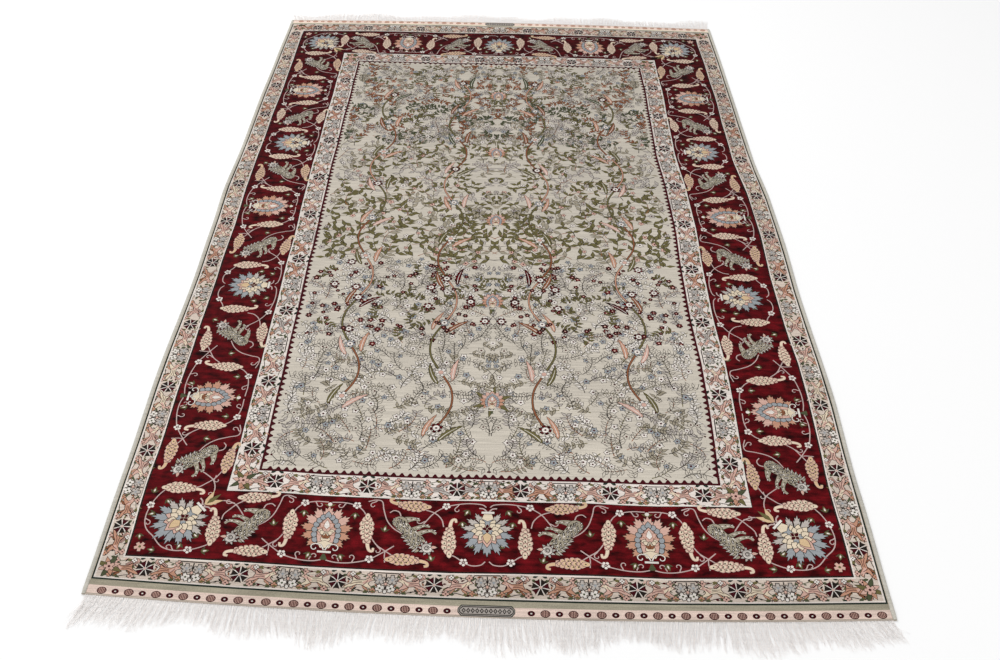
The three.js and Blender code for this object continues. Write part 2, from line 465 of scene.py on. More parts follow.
def prowler():
    """A big cat that springs out and down towards -X, shaggy about the neck and spotted all over."""
    draw = random.Random(5)
    design = Design()
    design.stroke(smooth([(20, -34), (24, -44), (33, -47), (40, -42)], 4), 2.2, "vine", 1.8)
    limb(design, [(20, -26), (8, -30), (-4, -32), (-12, -29)], (14, 11, 6, 3.6))
    limb(design, [(2, -8), (-10, -15), (-20, -19), (-30, -17)], (10, 7, 4.6, 3.6))
    for k in range(11):
        share = k / 10
        root = np.array([8 - 21 * share, 2 + 26 * share])
        tuft = turned(leaf(9 + 3 * (k % 2), 4.4, 2.5), -74 + 40 * share) + root
        design.fill(tuft, ("stone", "mist")[k % 2], "ink", 0.8)
    design.fill(oval(13, 11.5, (21, -24), points=14), "stone", "ink", 0.9)
    spine = smooth([(23, -23), (14, -14), (3, -3), (-8, 9), (-16, 18)], 5)
    design.stroke(spine, (20, 22, 18, 20, 24, 20), "stone", None, "ink", 0.9)
    design.fill(oval(12, 10.6, (21, -24), points=14), "stone")
    limb(design, [(-8, 0), (-20, -7), (-33, -9), (-41, -3)], (10, 7, 5, 3.6))
    for row in range(14):
        at = spine[int(row / 13 * (len(spine) - 1))]
        spots(design, draw, at, 8.4, 5 - row % 2)
    spots(design, draw, np.array((26, -28)), 7.5, 4)
    spots(design, draw, np.array((29, -31)), 3, 2)
    for k in range(9):
        angle = -50 + 320 * k / 8
        tuft = turned(leaf(8, 4.6, 2), angle) + (-26, 25)
        design.fill(tuft + turned([(0, 6)], angle)[0], "mist", "ink", 0.9)
    design.fill(oval(9.5, 8.5, (-27, 25), -40, 12), "mist", "ink", 0.9)
    for radius, start in ((7.2, 20), (4.6, 200), (2.4, 60)):
        design.stroke(spiral((-27, 25), radius, start, 230, 0.8, 8), 1.4, ("white", "ink")[radius < 5])
    design.fill(leaf(11, 5.5) @ np.array([[0, 1], [-1, 0]]) + (-33, 23), "rose", "ink", 0.8)
    return design


def tendril(design, at, turn, side):
    """A short stem that curls at its end."""
    curl = spiral((5 * side, 9), 5, 180 if side > 0 else 0, -240 * side, 0.35, 8)
    path = np.concatenate([[(0, 0)], [(0.5 * side, 4)], curl])
    design.stroke(turned(path, turn) + at, 1.8, "vine", 1.3)


# The unit of the border reaches from a blue palmette to a pink one. It has an outer half, by the
# pink one, and an inner half, which differs where the blue one is a corner's. Each half has
# stems, curls, as place, turn and side, buds, as place and turn, and flowers.
UNIT = 250   # its length, as drawn
OUTER_HALF = {
    "stems": [
        [(246, 118), (232, 121), (212, 121), (190, 117), (177, 112), (156, 98), (143, 88)],
        [(247, 12), (226, 12), (207, 17), (196, 26), (190, 36)],
        [(190, 8), (178, 4.5), (168, 7), (164, 22), (157, 42), (146, 56), (132, 65)],
        [(180, 74), (170, 88), (156, 98), (144, 106)],
        [(156, 98), (157, 106), (156, 118)],
    ],
    "curls": [
        (206, 121, 160, -1), (224, 12, 330, 1), (170, 88, 40, 1), (176, 6, 300, -1), (226, 119, 200, -1),
    ],
    "buds": [(160, 64, 170), (208, 30, 0), (226, 106, 20), (148, 6, 90), (222, 60, 350)],
    "flowers": [(180, 113), (207, 16)],
}
INNER_HALF = {
    "stems": [
        [(106, 56), (96, 40), (84, 24), (68, 13), (50, 8), (30, 6), (10, 8), (3, 13)],
        [(104, 17), (84, 24), (72, 36), (68, 50)],
        [(3, 112), (10, 118), (24, 119), (36, 113), (48, 104), (56, 100)],
    ],
    "curls": [(96, 40, 300, 1), (46, 8, 320, -1), (110, 84, 200, 1)],
    "buds": [(27, 88, 140), (30, 18, 330), (84, 112, 200), (40, 40, 10)],
    "flowers": [(66, 11), (36, 113)],
}
CORNER_HALF = {
    "stems": [
        [(-37, 94), (-20, 112), (0, 118), (24, 115), (44, 107), (56, 99)],
        [(27, 31), (40, 24), (62, 20), (80, 26), (92, 40), (102, 56)],
        [(64, 56), (66, 46), (74, 36), (86, 24), (104, 15)],
    ],
    "curls": [(86, 24, 80, -1), (40, 24, 250, -1), (0, 118, 150, 1)],
    "buds": [(46, 116, 260), (36, 92, 130), (10, 104, 20), (100, 84, 200)],
    "flowers": [(24, 115)],
}


def border_unit(length, pale, at_corner=False):
    """What lies between a blue palmette at the origin and a pink one at +X. +Y points outwards
    from the border's inner edge."""
    design = Design()
    reach = length / UNIT

    def at(x, y):
        return (x * reach, y)

    halves = (OUTER_HALF, CORNER_HALF if at_corner else INNER_HALF)
    for half in halves:
        for stem in half["stems"]:
            knots = stem if half is CORNER_HALF else [at(x, y) for x, y in stem]
            is_twig = len(knots) == 3
            design.stroke(smooth(knots, 5), 1.7 if is_twig else 1.8, "vine")
    for half in halves:
        for x, y, turn, side in half["curls"]:
            tendril(design, at(x, y), turn, side)
    for half in halves:
        for x, y, turn in half["buds"]:
            design.place(bud(13, 6.5), at(x, y), turn)
    second = "straw" if pale else "gold"
    design.place(bunch(), at(58, 99), 184)
    design.place(bunch(second, 60, 19), at(96, 13), 270)
    design.place(bunch(second, 60, 19), at(150, 112), 94)
    design.place(bunch(), at(188, 37), 0, flip=True)
    design.place(prowler(), at(117, 66), 0, 0.92)
    for half in halves:
        for x, y in half["flowers"]:
            design.place(white_flower(), at(x, y))
    return design


def corner():
    """What a corner of the main border has besides its units, from its inner corner at the origin."""
    design = Design()
    for turn in (-62, -28):
        design.fill(turned(leaf(30, 9, 4 if turn < -45 else -4), turn + 180) + (30, 30), "gold", "ink", 0.5)
    design.fill(turned(leaf(26, 7), 135) + (26, 26), "olive", "ink", 0.5)
    design.place(blue_palmette(34), (60, 60), -45, 1.08)
    design.place(blossom("rose", "olive", 9), (114, 114))
    for x, y, turn in ((120, 90, 10), (90, 120, 260)):
        design.place(bud(12, 6), (x, y), turn)
    return design


# Motifs of the guards


def wheel():
    """Seven dark wedges between pale spokes."""
    design = Design()
    design.fill(oval(11, 11, points=14), "white")
    wedge = mirrored([(0.4, 2.4), (3.3, 9.2), (4.5, 13.2), (1.3, 12.2)])
    for k in range(7):
        design.fill(turned(wedge, 360 * k / 7), ("ink", "maroon")[k % 2], "ink", 0.25)
    design.fill(oval(1.9, 1.9, points=6), "rose")
    return design


def bouquet():
    """Bluish flowers under a dark bracket, about a stem that points outwards, along +Y."""
    design = Design()
    design.stroke([(-22, -12), (-19, -16.5), (19, -16.5), (22, -12)], 1.8, "ink")
    for side in (-1, 1):
        design.place(blossom("mist", "blue", 8.2, 5, 1.1), (9.5 * side, -5), 36 * side)
        design.place(blossom("white", "leaf", 6.8, 4, 1.1), (8 * side, 9.5), 20 * side)
        for angle in (0, 120, 240):
            tick = turned([(0, 2.6), (0, 6)], angle) + (9.5 * side, -5)
            design.stroke(tick, 0.8, "ink")
        design.fill(turned(leaf(9, 4.4), -70 * side) + (14 * side, 6), "leaf")
        design.fill(turned(leaf(8, 3.6), -100 * side) + (14 * side, 16), "olive")
        design.fill(turned(leaf(7, 3.4), -60 * side) + (16 * side, -13), "leaf")
    design.stroke([(0, -15), (0, 15)], 1.8, "ink")
    design.fill(oval(2.6, 3.2, (0, 15), points=6), "white", "ink", 1)
    design.fill(oval(2.2, 2.6, (0, 2), points=6), "rose", "ink", 0.8)
    return design


# A leaping animal's outline, from the nose over the back and the hind leg to the belly, the
# foreleg and the throat, with its feet towards +Y
LEAPER = [
    (22, -5), (18, -9), (15, -12), (13, -7.5), (6, -4), (-6, -5), (-12, -10), (-11.5, -3),
    (-14, 2), (-21, 6), (-26, 11), (-20, 10), (-11, 6.5), (-5, 3), (4, 4), (10, 8), (19, 11),
    (24, 10), (16, 6), (12.5, 2), (15, -3),
]
LEAPER_FAR_LEGS = [
    [(-9, 3), (-11, 9), (-18, 14), (-12, 13.5), (-5, 4)],
    [(3, 4), (6, 10), (14, 15), (11, 9), (9, 4)],
]
LEAPER_FLANK = [(12, -6), (16, -9), (20, -5), (13, -1), (5, 3), (4, -1)]
LEAPER_FOLDS = [
    [(-15, 4), (-9, 1), (-2, 0), (4, 1)],
    [(-11, -3), (-4, -2.5), (3, -2)],
    [(5, 5), (9, 1), (12, -4)],
]
PLUME = [(-3, -3), (-8, -4), (-22, -12), (-20, -18), (-15, -19), (-1, -8)]


def leaper(coat):
    """A small leaping animal that looks towards +X, with a striped plume behind it."""
    design = Design()
    design.fill(PLUME, "rose", "ink", 1)
    for shift in (0, 2.2, 4.4):
        design.stroke([(-5 + shift * 0.7, -4.4 - shift * 0.5), (-20 + shift, -13 - shift)], 1.1, "maroon")
    for leg in LEAPER_FAR_LEGS:
        design.fill(leg, "rust" if coat == "salmon" else "salmon", "ink", 0.6)
    design.fill(LEAPER, coat, "ink", 1.1)
    design.fill(LEAPER_FLANK, "straw" if coat == "rose" else "rose")
    for number, fold in enumerate(LEAPER_FOLDS):
        design.stroke(fold, 1, ("maroon", "ink")[number % 2])
    design.fill(oval(1, 1, (16.5, -6.5), points=4), "ink")
    return design


def guard_unit(length, half_band, coat):
    """From a wheel at the origin to a bouquet at +X. +Y points outwards from the guard's middle."""
    design = Design()
    middle = length * 0.47
    edge = half_band - 5
    far = length - 20
    outer = smooth([(14, edge - 1), (middle - 8, edge - 3), (middle + 10, edge + 1), (far, edge)], 3)
    inner = smooth([(14, 3 - edge), (middle - 4, 1 - edge), (middle + 8, 4 - edge), (far, 2 - edge)], 3)
    design.stroke(outer, 1.3, "ink")
    design.stroke(inner, 1.2, "leaf")
    leaves = [
        (13, 3 - edge, 60, "leaf"), (middle - 6, edge, 100, "leaf"), (middle + 6, edge + 1, 250, "olive"),
        (middle, 1 - edge, 84, "olive"), (9, edge, 300, "leaf"), (17, 4, 20, "olive"),
        (middle + 24, 2, 200, "leaf"), (middle + 12, 3 - edge, 290, "leaf"), (far - 4, edge, 70, "leaf"),
        (far + 2, 3 - edge, 60, "leaf"), (middle - 14, edge + 1, 60, "forest"), (11, -edge, 120, "forest"),
    ]
    for x, y, turn, yarn in leaves:
        design.fill(turned(leaf(10.5, 5, 1), turn) + (x, y), yarn)
    draw = random.Random(round(length))
    for _ in range(24):
        at = (draw.uniform(12, length - 12), draw.uniform(-edge - 2, edge + 2))
        yarn = draw.choice(("ink", "rust", "olive", "maroon", "leaf", "ink", "rose"))
        design.fill(turned(blade(draw.uniform(6, 9), 3.2), draw.uniform(0, 360)) + at, yarn)
    design.place(leaper(coat), (middle, 1), 0, 0.94)
    blossoms = [
        ("rose", "maroon", 5.2, (18, edge - 1)), ("rose", "maroon", 5.2, (middle + 15, 3 - edge)),
        ("salmon", "rust", 4.6, (middle + 20, edge - 2)), ("white", "maroon", 4.2, (middle - 12, 2 - edge)),
    ]
    for petal, heart, radius, at in blossoms:
        design.place(blossom(petal, heart, radius, 4, 0.8), at)
    return design


# What fills a guard between its last wheel and its corner, as far as there is room: a unit, a
# bouquet and a shorter unit
END_UNIT = 66
END_BOUQUET = END_UNIT + 2
BACK_UNIT = 60


def guard_run(design, side, wheels, middle, half_band, coats):
    """One side's row of a guard, from corner to corner."""
    out, corner_at = middle if side in UPRIGHT_SIDES else middle[::-1]
    for number, (low, high) in enumerate(zip(wheels, wheels[1:])):
        centre = (low + high) / 2
        design.lay(guard_unit(centre - low, half_band, coats[number % 4]), side, low, out)
        design.lay(guard_unit(high - centre, half_band, coats[(number + 1) % 4]), side, high, out, -1)
        design.lay(bouquet(), side, centre, out)
    for wheel_at, forward in ((wheels[0], -1), (wheels[-1], 1)):
        room = corner_at - abs(wheel_at)
        if room > 40:
            design.lay(guard_unit(END_UNIT, half_band, coats[0]), side, wheel_at, out, forward)
        if room > 100:
            design.lay(bouquet(), side, wheel_at + END_BOUQUET * forward, out)
        if room > 110:
            start = wheel_at + (END_BOUQUET + BACK_UNIT) * forward
            design.lay(guard_unit(BACK_UNIT, half_band, coats[1]), side, start, out, -forward)
    for wheel_at in wheels:
        design.lay(wheel(), side, wheel_at, out)


# The field: an even growth of leafy sprays over waving stems with open flowers, in mirror image


def saz_leaf(length, width, bend, yarn):
    """A long curved leaf with a toothed outer side and pale veins."""
    share = np.linspace(0, 1, 11)
    spine = np.stack([bend * share ** 2, length * share], 1)
    half = width / 2 * np.sin(np.pi * share ** 0.8) ** 0.8
    tooth = np.where(np.arange(11) % 2 == 1, 1.45, 0.85)
    right = spine + np.stack([half, np.zeros(11)], 1)
    left = spine - np.stack([half * tooth, -0.25 * half], 1)
    design = Design()
    design.fill(np.concatenate([right, left[-2:0:-1]]), yarn, "ink", 0.8)
    design.stroke(spine[1:-2], 1.4, "white", 0.7)
    return design


def floret(radius, ring="crimson"):
    """A dark flower with a pale heart. A large one has a pale disc in it."""
    design = blossom(ring, "rose", radius, 6, 0.8)
    if radius > 7:
        design.fill(oval(radius * 0.58, radius * 0.58, points=8), "white", "maroon", 0.7)
        design.fill(oval(radius * 0.22, radius * 0.22, points=5), "maroon")
    return design


def star_flower(petal, heart, radius):
    """A small five-pointed flower in a dark outline."""
    design = Design()
    ring = [polar(radius * (1 if k % 2 else 0.62), 36 * k) for k in range(10)]
    design.fill(ring, petal, "ink", 0.8)
    design.fill(oval(radius * 0.34, radius * 0.34, points=4), heart)
    return design


# What grows in each part of the field, by where that part ends along the rug: the yarns of
# leaves, their length, and the yarns of flowers, stems and large leaves
FIELD_PARTS = [
    (-380, ("mist", "field", "white", "field", "stone"), 10.5, ("white", "white", "field", "blue"),
     ("ink", "rust", "ink", "olive"), ("salmon", "olive", "rose")),
    (-150, ("mist", "field", "olive", "white"), 10.5, ("crimson", "white", "white", "blue"),
     ("ink", "rust", "olive"), ("rust", "crimson", "salmon")),
    (80, ("olive", "olive", "stone", "olive"), 19, ("white", "mist", "rose"),
     ("rust", "olive", "ink"), ("rose", "olive", "salmon")),
    (310, ("olive", "stone", "olive", "mist"), 16.5, ("white", "mist", "rose"),
     ("rust", "olive", "ink"), ("rose", "olive", "salmon")),
    (520, ("leaf", "olive", "mist", "rust", "stone"), 12, ("mist", "white", "mist", "blue"),
     ("rust", "ink", "olive"), ("salmon", "leaf", "rust")),
    (720, ("rust", "olive", "stone", "mist"), 11, ("mist", "white", "salmon", "blue"),
     ("rust", "ink", "olive"), ("salmon", "leaf", "rust")),
]
LARGE_LEAF = 13     # leaves longer than this stand further apart


def field_part(y):
    return next(part for part in FIELD_PARTS if y < part[0])


def bough(draw, length, y):
    """A thin curved stem about the origin, with leaves on both sides and twigs with flowers."""
    _, leaves, size, flowers, stems, _ = field_part(y)
    design = Design()
    bend = draw.uniform(-0.4, 0.4) * length
    knots = np.array([(0, 0), (-bend * 0.15, length * 0.35), (bend * 0.3, length * 0.75), (bend, length)])
    path = smooth(knots - (bend / 4, length / 2), 1 if size > LARGE_LEAF else 2)
    leaf_yarn = draw.choice(leaves)
    design.stroke(path, draw.uniform(1.2, 2), draw.choice(stems), 0.9)
    for k in range(1, len(path)):
        ahead = path[k] - path[k - 1]
        turn = math.degrees(math.atan2(ahead[1], ahead[0])) - 90
        for side in (-1, 1):
            lean = turn + side * draw.uniform(38, 78)
            if k % 6 == 3 + side:
                tip = path[k] + turned([(0, draw.uniform(10, 16))], lean)[0]
                design.stroke([path[k], tip], 1, "ink")
                flower = draw.choice(flowers)
                heart = "rose" if flower == "crimson" else "maroon"
                design.place(star_flower(flower, heart, draw.uniform(5, 7.6)), tip, draw.uniform(0, 70))
            else:
                shape = blade(size * draw.uniform(0.75, 1.25), size * 0.44, draw.uniform(-2, 2))
                design.fill(turned(shape, lean) + path[k], leaf_yarn, "ink", 0.85)
    return design


def node(y, number):
    """An open flower between two long leaves that bend about it."""
    *_, large = field_part(y)
    design = Design()
    for side in (-1, 1):
        yarn = large[(number + (side > 0)) % 3]
        large_leaf = saz_leaf(52, 8.5, 15 * side, yarn)
        design.place(large_leaf, (-14 * side, -26), 14 * side, flip=side > 0)
    if number % 3 == 0:
        design.place(floret(10.5))
    elif number % 3 == 1:
        design.place(blossom("white", "maroon", 10.5, 6, 0.9))
        design.fill(oval(4.6, 4.6, points=7), "rose", "ink", 0.6)
    else:
        design.place(floret(10, "blue"))
    return design


# How far apart the middles of neighbouring sprays are, at places along the rug
PITCH_AT = [-700, -300, -170, -120, 60, 160, 290, 340, 700]
SPRAY_PITCH = [23, 24.5, 25, 24.5, 26, 24, 24, 22.5, 23]

SPRAY_TRIES = 6000
NODE_COLUMNS = [92, 262]
NODE_PITCH = 132        # along a column
STEM_YARNS = ("rust", "olive", "salmon")
FLORETS = 60
FLORET_BAND = (-360, -150)


def field_half(draw, half_x, half_y):
    """The right half of the field's design."""
    half = Design()
    middles = []
    for _ in range(SPRAY_TRIES):
        middle = (draw.uniform(4, half_x - 6), draw.uniform(6 - half_y, half_y - 6))
        pitch = np.interp(middle[1], PITCH_AT, SPRAY_PITCH)
        if all(math.dist(middle, other) > pitch for other in middles):
            middles.append(middle)
    for x, y in middles:
        turn = 80 * math.sin(x / 60 + y / 90) + draw.uniform(-50, 50)
        half.place(bough(draw, draw.uniform(34, 50), y), (x, y), turn)
    for column, x in enumerate(NODE_COLUMNS):
        count = int(2 * half_y / NODE_PITCH)
        places = [(x, (k - (count - 1 - column) / 2) * NODE_PITCH) for k in range(count - column)]
        for number, (low, high) in enumerate(zip(places, places[1:])):
            way = 1 if number % 2 else -1
            stem = smooth([low, (x + 20 * way, low[1] + 44), (x + 20 * way, high[1] - 44), high], 5)
            half.stroke(stem, (3.2, 2.6, 2.6, 3.2), STEM_YARNS[number % 3], None, "ink", 0.8)
        for number, (x, y) in enumerate(places):
            half.place(node(y, number + column), (x, y), 20 * (-1) ** number)
    for number in range(FLORETS):
        at = (draw.uniform(10, half_x - 12), draw.uniform(*FLORET_BAND))
        radius = 9.5 if number % 8 == 0 else draw.uniform(3.4, 6.4)
        half.place(floret(radius), at, draw.uniform(0, 60))
    return half


FIELD_MARGIN = 10     # between the field's design and its edge


def field_design():
    """The whole field: its right half and the mirror image of that, with palmettes on the axis."""
    half_x, half_y = FIELD[0] - FIELD_MARGIN, FIELD[1] - FIELD_MARGIN
    half = field_half(random.Random(11), half_x, half_y)
    half.shapes = [s for s in half.shapes if s[0][:, 0].min() > -6 and s[0][:, 0].max() < half_x + 3
                   and np.abs(s[0][:, 1]).max() < half_y + 3]
    design = Design()
    for x in (1, -1):
        design.mirror(half, x)
    for k in range(-2, 3):
        y = k * half_y / 2.6
        for turn in range(0, 360, 60):
            design.fill(turned(leaf(38, 9, 5), turn) + (0, y), "olive", "ink", 0.8)
        design.place(pink_palmette(), (0, y), 0, 0.55)
    return design


# The whole pattern

# A flat-woven end has bands of its own, by where they start from the edge
END_BANDS = [(0, "cream"), (2, "stone"), (2.8, "end_pink"), (17, "sage")]
# Nested grounds: a frame, how far past it the ground reaches, and its yarn
GROUNDS = [
    (DARK_LINE, 0, "cream"), (MAIN_OUTER, 1.8, "ink"), (MAIN_OUTER, -1, "crimson"),
    (MAIN_INNER, 1.4, "ink"), (MAIN_INNER, 0.2, "white"), (MAIN_INNER, -2, "pearl"),
    (FIELD, 2.2, "maroon"), (FIELD, -1.8, "field"),
]


def grounds(design):
    for inset, yarn in END_BANDS:
        design.fill(rectangle(PATTERN[0], HALF_LENGTH - inset), yarn)
    for (half_x, half_y), out, yarn in GROUNDS:
        design.fill(rectangle(half_x + out, half_y + out), yarn)


DARK_WIDTH = 2.9          # of the dark line along the ends
DARK_ON_PILE = 2.2        # of its part along the sides that lies on the pile
# The clean lines along both guards, over the ends of their leaves: the rectangle that each starts
# from, its width at the sides and at the ends, and its yarn. The dark line changes its yarn where
# the pile slopes down to the selvedge, so that the mesh has an edge there.
GUARD_LINES = [
    (DARK_LINE, (DARK_LINE[0] - PILE_TOP[0], DARK_WIDTH), "ink"),
    ((PILE_TOP[0], DARK_LINE[1]), (DARK_ON_PILE, DARK_WIDTH), "forest"),
    ((PILE_TOP[0] - DARK_ON_PILE, DARK_LINE[1] - DARK_WIDTH), (2.4, 2.4), "pearl"),
    ((MAIN_OUTER[0] + 4, MAIN_OUTER[1] + 4), (2.3, 2.3), "pearl"),
    ((MAIN_INNER[0] + 0.2, MAIN_INNER[1] + 0.2), (2.2, 2.2), "white"),
]


def guard_lines(design):
    for (half_x, half_y), (wide_x, wide_y), yarn in GUARD_LINES:
        for way in (1, -1):
            design.fill(rectangle(wide_x / 2, half_y) + (way * (half_x - wide_x / 2), 0), yarn)
            design.fill(rectangle(half_x, wide_y / 2) + (0, way * (half_y - wide_y / 2)), yarn)


TOOTH = [(-5, 0), (5, 0), (1.2, -6), (-1.2, -6)]
TEETH_PITCH = 13.5


def teeth(design):
    """The row of teeth that points into the field from its edge line."""
    tooth = Design()
    tooth.fill(TOOTH, "maroon")
    for side in SIDES:
        out, along = FIELD if side in UPRIGHT_SIDES else FIELD[::-1]
        count = int(2 * (along - 8) / TEETH_PITCH)
        for k in range(count):
            design.lay(tooth, side, (k - (count - 1) / 2) * TEETH_PITCH, out - 1.5)


# Where the palmettes stand along the main border, and how far out from its inner edge
SIDE_PALMETTES = [(-542, "pink"), (-235, "blue"), (34, "pink"), (293, "blue"), (544, "pink")]
CORNER_PALMETTE = (479, 806)
END_PINK = 249
PALMETTES_OUT_AT_SIDES = {"pink": 72, "blue": 59}
PALMETTES_OUT_AT_ENDS = {"pink": 66, "blue": 57}


def main_border(design):
    """The units of all four sides with the palmettes between them, and the corners."""
    inner_x, inner_y = MAIN_INNER
    corner_x, corner_y = CORNER_PALMETTE
    palmettes = {"pink": Design(), "blue": blue_palmette()}
    palmettes["pink"].place(pink_palmette(), turn=180)
    for side in ("near", "far"):
        for forward in (1, -1):
            design.lay(border_unit(END_PINK, False), side, 0, inner_y, forward)
            last_unit = border_unit(corner_x - END_PINK, True, True)
            design.lay(last_unit, side, corner_x * forward, inner_y, -forward)
            design.lay(palmettes["pink"], side, END_PINK * forward, inner_y + PALMETTES_OUT_AT_ENDS["pink"])
        design.lay(palmettes["blue"], side, 0, inner_y + PALMETTES_OUT_AT_ENDS["blue"])
    stops = [(-corner_y, "blue"), *SIDE_PALMETTES, (corner_y, "blue")]
    for side in UPRIGHT_SIDES:
        for number, ((low, kind), (high, _)) in enumerate(zip(stops, stops[1:])):
            start, forward = (low, 1) if kind == "blue" else (high, -1)
            unit = border_unit(high - low, number % 3 == 1, abs(start) == corner_y)
            design.lay(unit, side, start, inner_x, forward)
        for at, kind in SIDE_PALMETTES:
            design.lay(palmettes[kind], side, at, inner_x + PALMETTES_OUT_AT_SIDES[kind])
    piece = Design()
    piece.place(corner(), MAIN_INNER)
    for x, y in CORNERS:
        design.mirror(piece, x, y)


def corner_spray(size):
    """A flower with leaves for a guard's corner."""
    design = Design()
    for k in range(8):
        yarn = ("salmon", "olive", "rose", "leaf")[k % 4]
        length = size * (1.15 if k % 2 else 0.9)
        design.fill(turned(leaf(length, size * 0.42, 2), 45 * k + 10), yarn, "ink", 0.7)
    design.place(blossom("rose", "maroon", size * 0.45, 5, 0.8))
    return design


# Both guards: the middle line, half the band's width, where wheels stand from an end's middle
# outwards and along a side, the animals' coats, and the size and turn of the corners' sprays
GUARDS = [
    (OUTER_GUARD, 20.5, [79, 223, 370, 513],
     [-824, -670, -522, -356, -168, -25, 119, 266, 423, 567, 716, 860],
     ("salmon", "rose", "straw", "rose"), 19, 20),
    (INNER_GUARD, 22, [51, 195, 344],
     [-657, -500, -310, -149, 6, 151, 307, 455, 596],
     ("rose", "rose", "mist", "salmon"), 20, -15),
]


def guards(design):
    for side in SIDES:
        for middle, half_band, across, along, coats, *_ in GUARDS:
            wheels = along if side in UPRIGHT_SIDES else [-v for v in reversed(across)] + across
            guard_run(design, side, wheels, middle, half_band, coats)
    for x, y in CORNERS:
        for (middle_x, middle_y), *_, size, turn in GUARDS:
            design.place(corner_spray(size), (middle_x * x, middle_y * y), turn)


def rosettes(ring):
    """The two kinds of rosettes of a flat-woven end: a large one with bars and a small one."""
    large, small = Design(), Design()
    large.fill(oval(7.4, 6, points=14), ring)
    large.fill(oval(6, 4.6, points=14), "rose")
    for k in range(-2, 3):
        large.fill(rectangle(0.6, 4.4 - abs(k) * 0.8) + (2.3 * k, 0), ring)
    small.fill(oval(5.6, 4.5, points=10), ring)
    small.fill(oval(1.7, 1.3, points=6), "white")
    return small, large


def plaque():
    """An oblong frame with a row of lozenges."""
    design = Design()
    octagon = np.array([(-42, -3), (-37, -9), (37, -9), (42, -3), (42, 3), (37, 9), (-37, 9), (-42, 3)])
    lozenge = np.array([(-3, 0), (0, -4.4), (3, 0), (0, 4.4)])
    shares = [((1, 1), "forest"), ((0.97, 0.84), "mist"), ((0.95, 0.74), "ink"), ((0.92, 0.58), "mist")]
    for share, yarn in shares:
        design.fill(octagon * share, yarn)
    for k in range(-5, 6):
        design.fill(lozenge + (6.6 * k, 0), "ink")
        design.fill(lozenge / 2 + (6.6 * k, 0), "mist")
    return design


ROSETTE_PITCH = 20.4
ROSETTES_FROM = 50              # the middle of an end
ROSETTES_TO = HALF_WIDTH - 14
ROSETTES_OUT = HALF_LENGTH - 8.5
PLAQUE_OUT = HALF_LENGTH - 10.5


def flat_woven_ends(design):
    """The rosettes in turn, on both sides of the oblong frame. The far end's are paler."""
    count = int(HALF_WIDTH / ROSETTE_PITCH)
    for side, ring in (("near", "maroon"), ("far", "salmon")):
        kinds = rosettes(ring)
        for k in range(-count, count + 1):
            at = (k + 0.2) * ROSETTE_PITCH
            if ROSETTES_FROM < abs(at) < ROSETTES_TO:
                design.lay(kinds[(k + 1) % 2], side, at, ROSETTES_OUT)
        design.lay(plaque(), side, 0, PLAQUE_OUT)


def whole_pattern():
    design = Design()
    grounds(design)
    teeth(design)
    design.place(field_design())
    guards(design)
    guard_lines(design)
    main_border(design)
    flat_woven_ends(design)
    return design


# From outlines to meshes: the top is cut along all outlines, tile by tile, and each triangle
# goes to the yarn of the outline that was painted last over it. Cuts between triangles of one
# yarn are then dropped, and the tile is cut again along the edges between two yarns alone.
TILE_COUNT = (11, 18)
GRID_STEPS = 4      # even steps across a tile, so that the pattern follows the sheet
SNAP = 1e-4         # corners that are nearer to each other become one
STRAIGHT = 0.03     # how far off a straight run a corner may be and still be dropped, in mm


def covers(outline, x, y):
    """Which points an outline winds about."""
    start_x, start_y = outline[:, :1], outline[:, 1:]
    end_x, end_y = np.roll(start_x, -1, axis=0), np.roll(start_y, -1, axis=0)
    low = np.minimum(start_y, end_y) <= y.max()
    crossing = (low & (np.maximum(start_y, end_y) >= y.min()))[:, 0]
    start_x, start_y, end_x, end_y = (v[crossing] for v in (start_x, start_y, end_x, end_y))
    turn = (end_x - start_x) * (y - start_y) - (x - start_x) * (end_y - start_y)
    up = (start_y <= y) & (end_y > y) & (turn > 0)
    down = (start_y > y) & (end_y <= y) & (turn < 0)
    return up.sum(0) != down.sum(0)


def yarn_under(shapes, x, y):
    """The yarn at each point, which come sorted by x: that of the last outline painted over it."""
    yarns = np.full(len(x), -1)
    for outline, yarn, low, high in reversed(shapes):
        first, last = np.searchsorted(x, (low[0], high[0]))
        own_y = y[first:last]
        near = first + np.nonzero((own_y > low[1]) & (own_y < high[1]) & (yarns[first:last] < 0))[0]
        if len(near):
            yarns[near[covers(outline, x[near], y[near])]] = yarn
    return np.maximum(yarns, 0)


def cut(points, edges, low, high):
    """Corners and triangles of a tile that is cut along edges."""
    corners, _, faces, *_ = delaunay_2d_cdt([Vector(p) for p in points], edges, [], 0, SNAP, False)
    corners = np.array([tuple(c) for c in corners])
    faces = np.array(faces)
    x, y = corners[faces].mean(1).T
    inside = np.nonzero((x > low[0]) & (x < high[0]) & (y > low[1]) & (y < high[1]))[0]
    inside = inside[np.argsort(x[inside])]
    return corners, faces[inside], x[inside], y[inside]


def borders(faces, yarns, count):
    """The edges of triangles that lie between two yarns, or on a tile's own edge."""
    ends = np.sort(np.concatenate([faces[:, [0, 1]], faces[:, [1, 2]], faces[:, [2, 0]]]), axis=1)
    keys = ends[:, 0] * count + ends[:, 1]
    order = np.argsort(keys, kind="stable")
    keys = keys[order]
    beside = np.tile(yarns, 3)[order]
    same = keys[1:] == keys[:-1]
    inner = np.zeros(len(keys), bool)
    quiet = same & (beside[1:] == beside[:-1])
    inner[1:] |= quiet
    inner[:-1] |= quiet
    return np.unique(ends[order][~inner], axis=0)


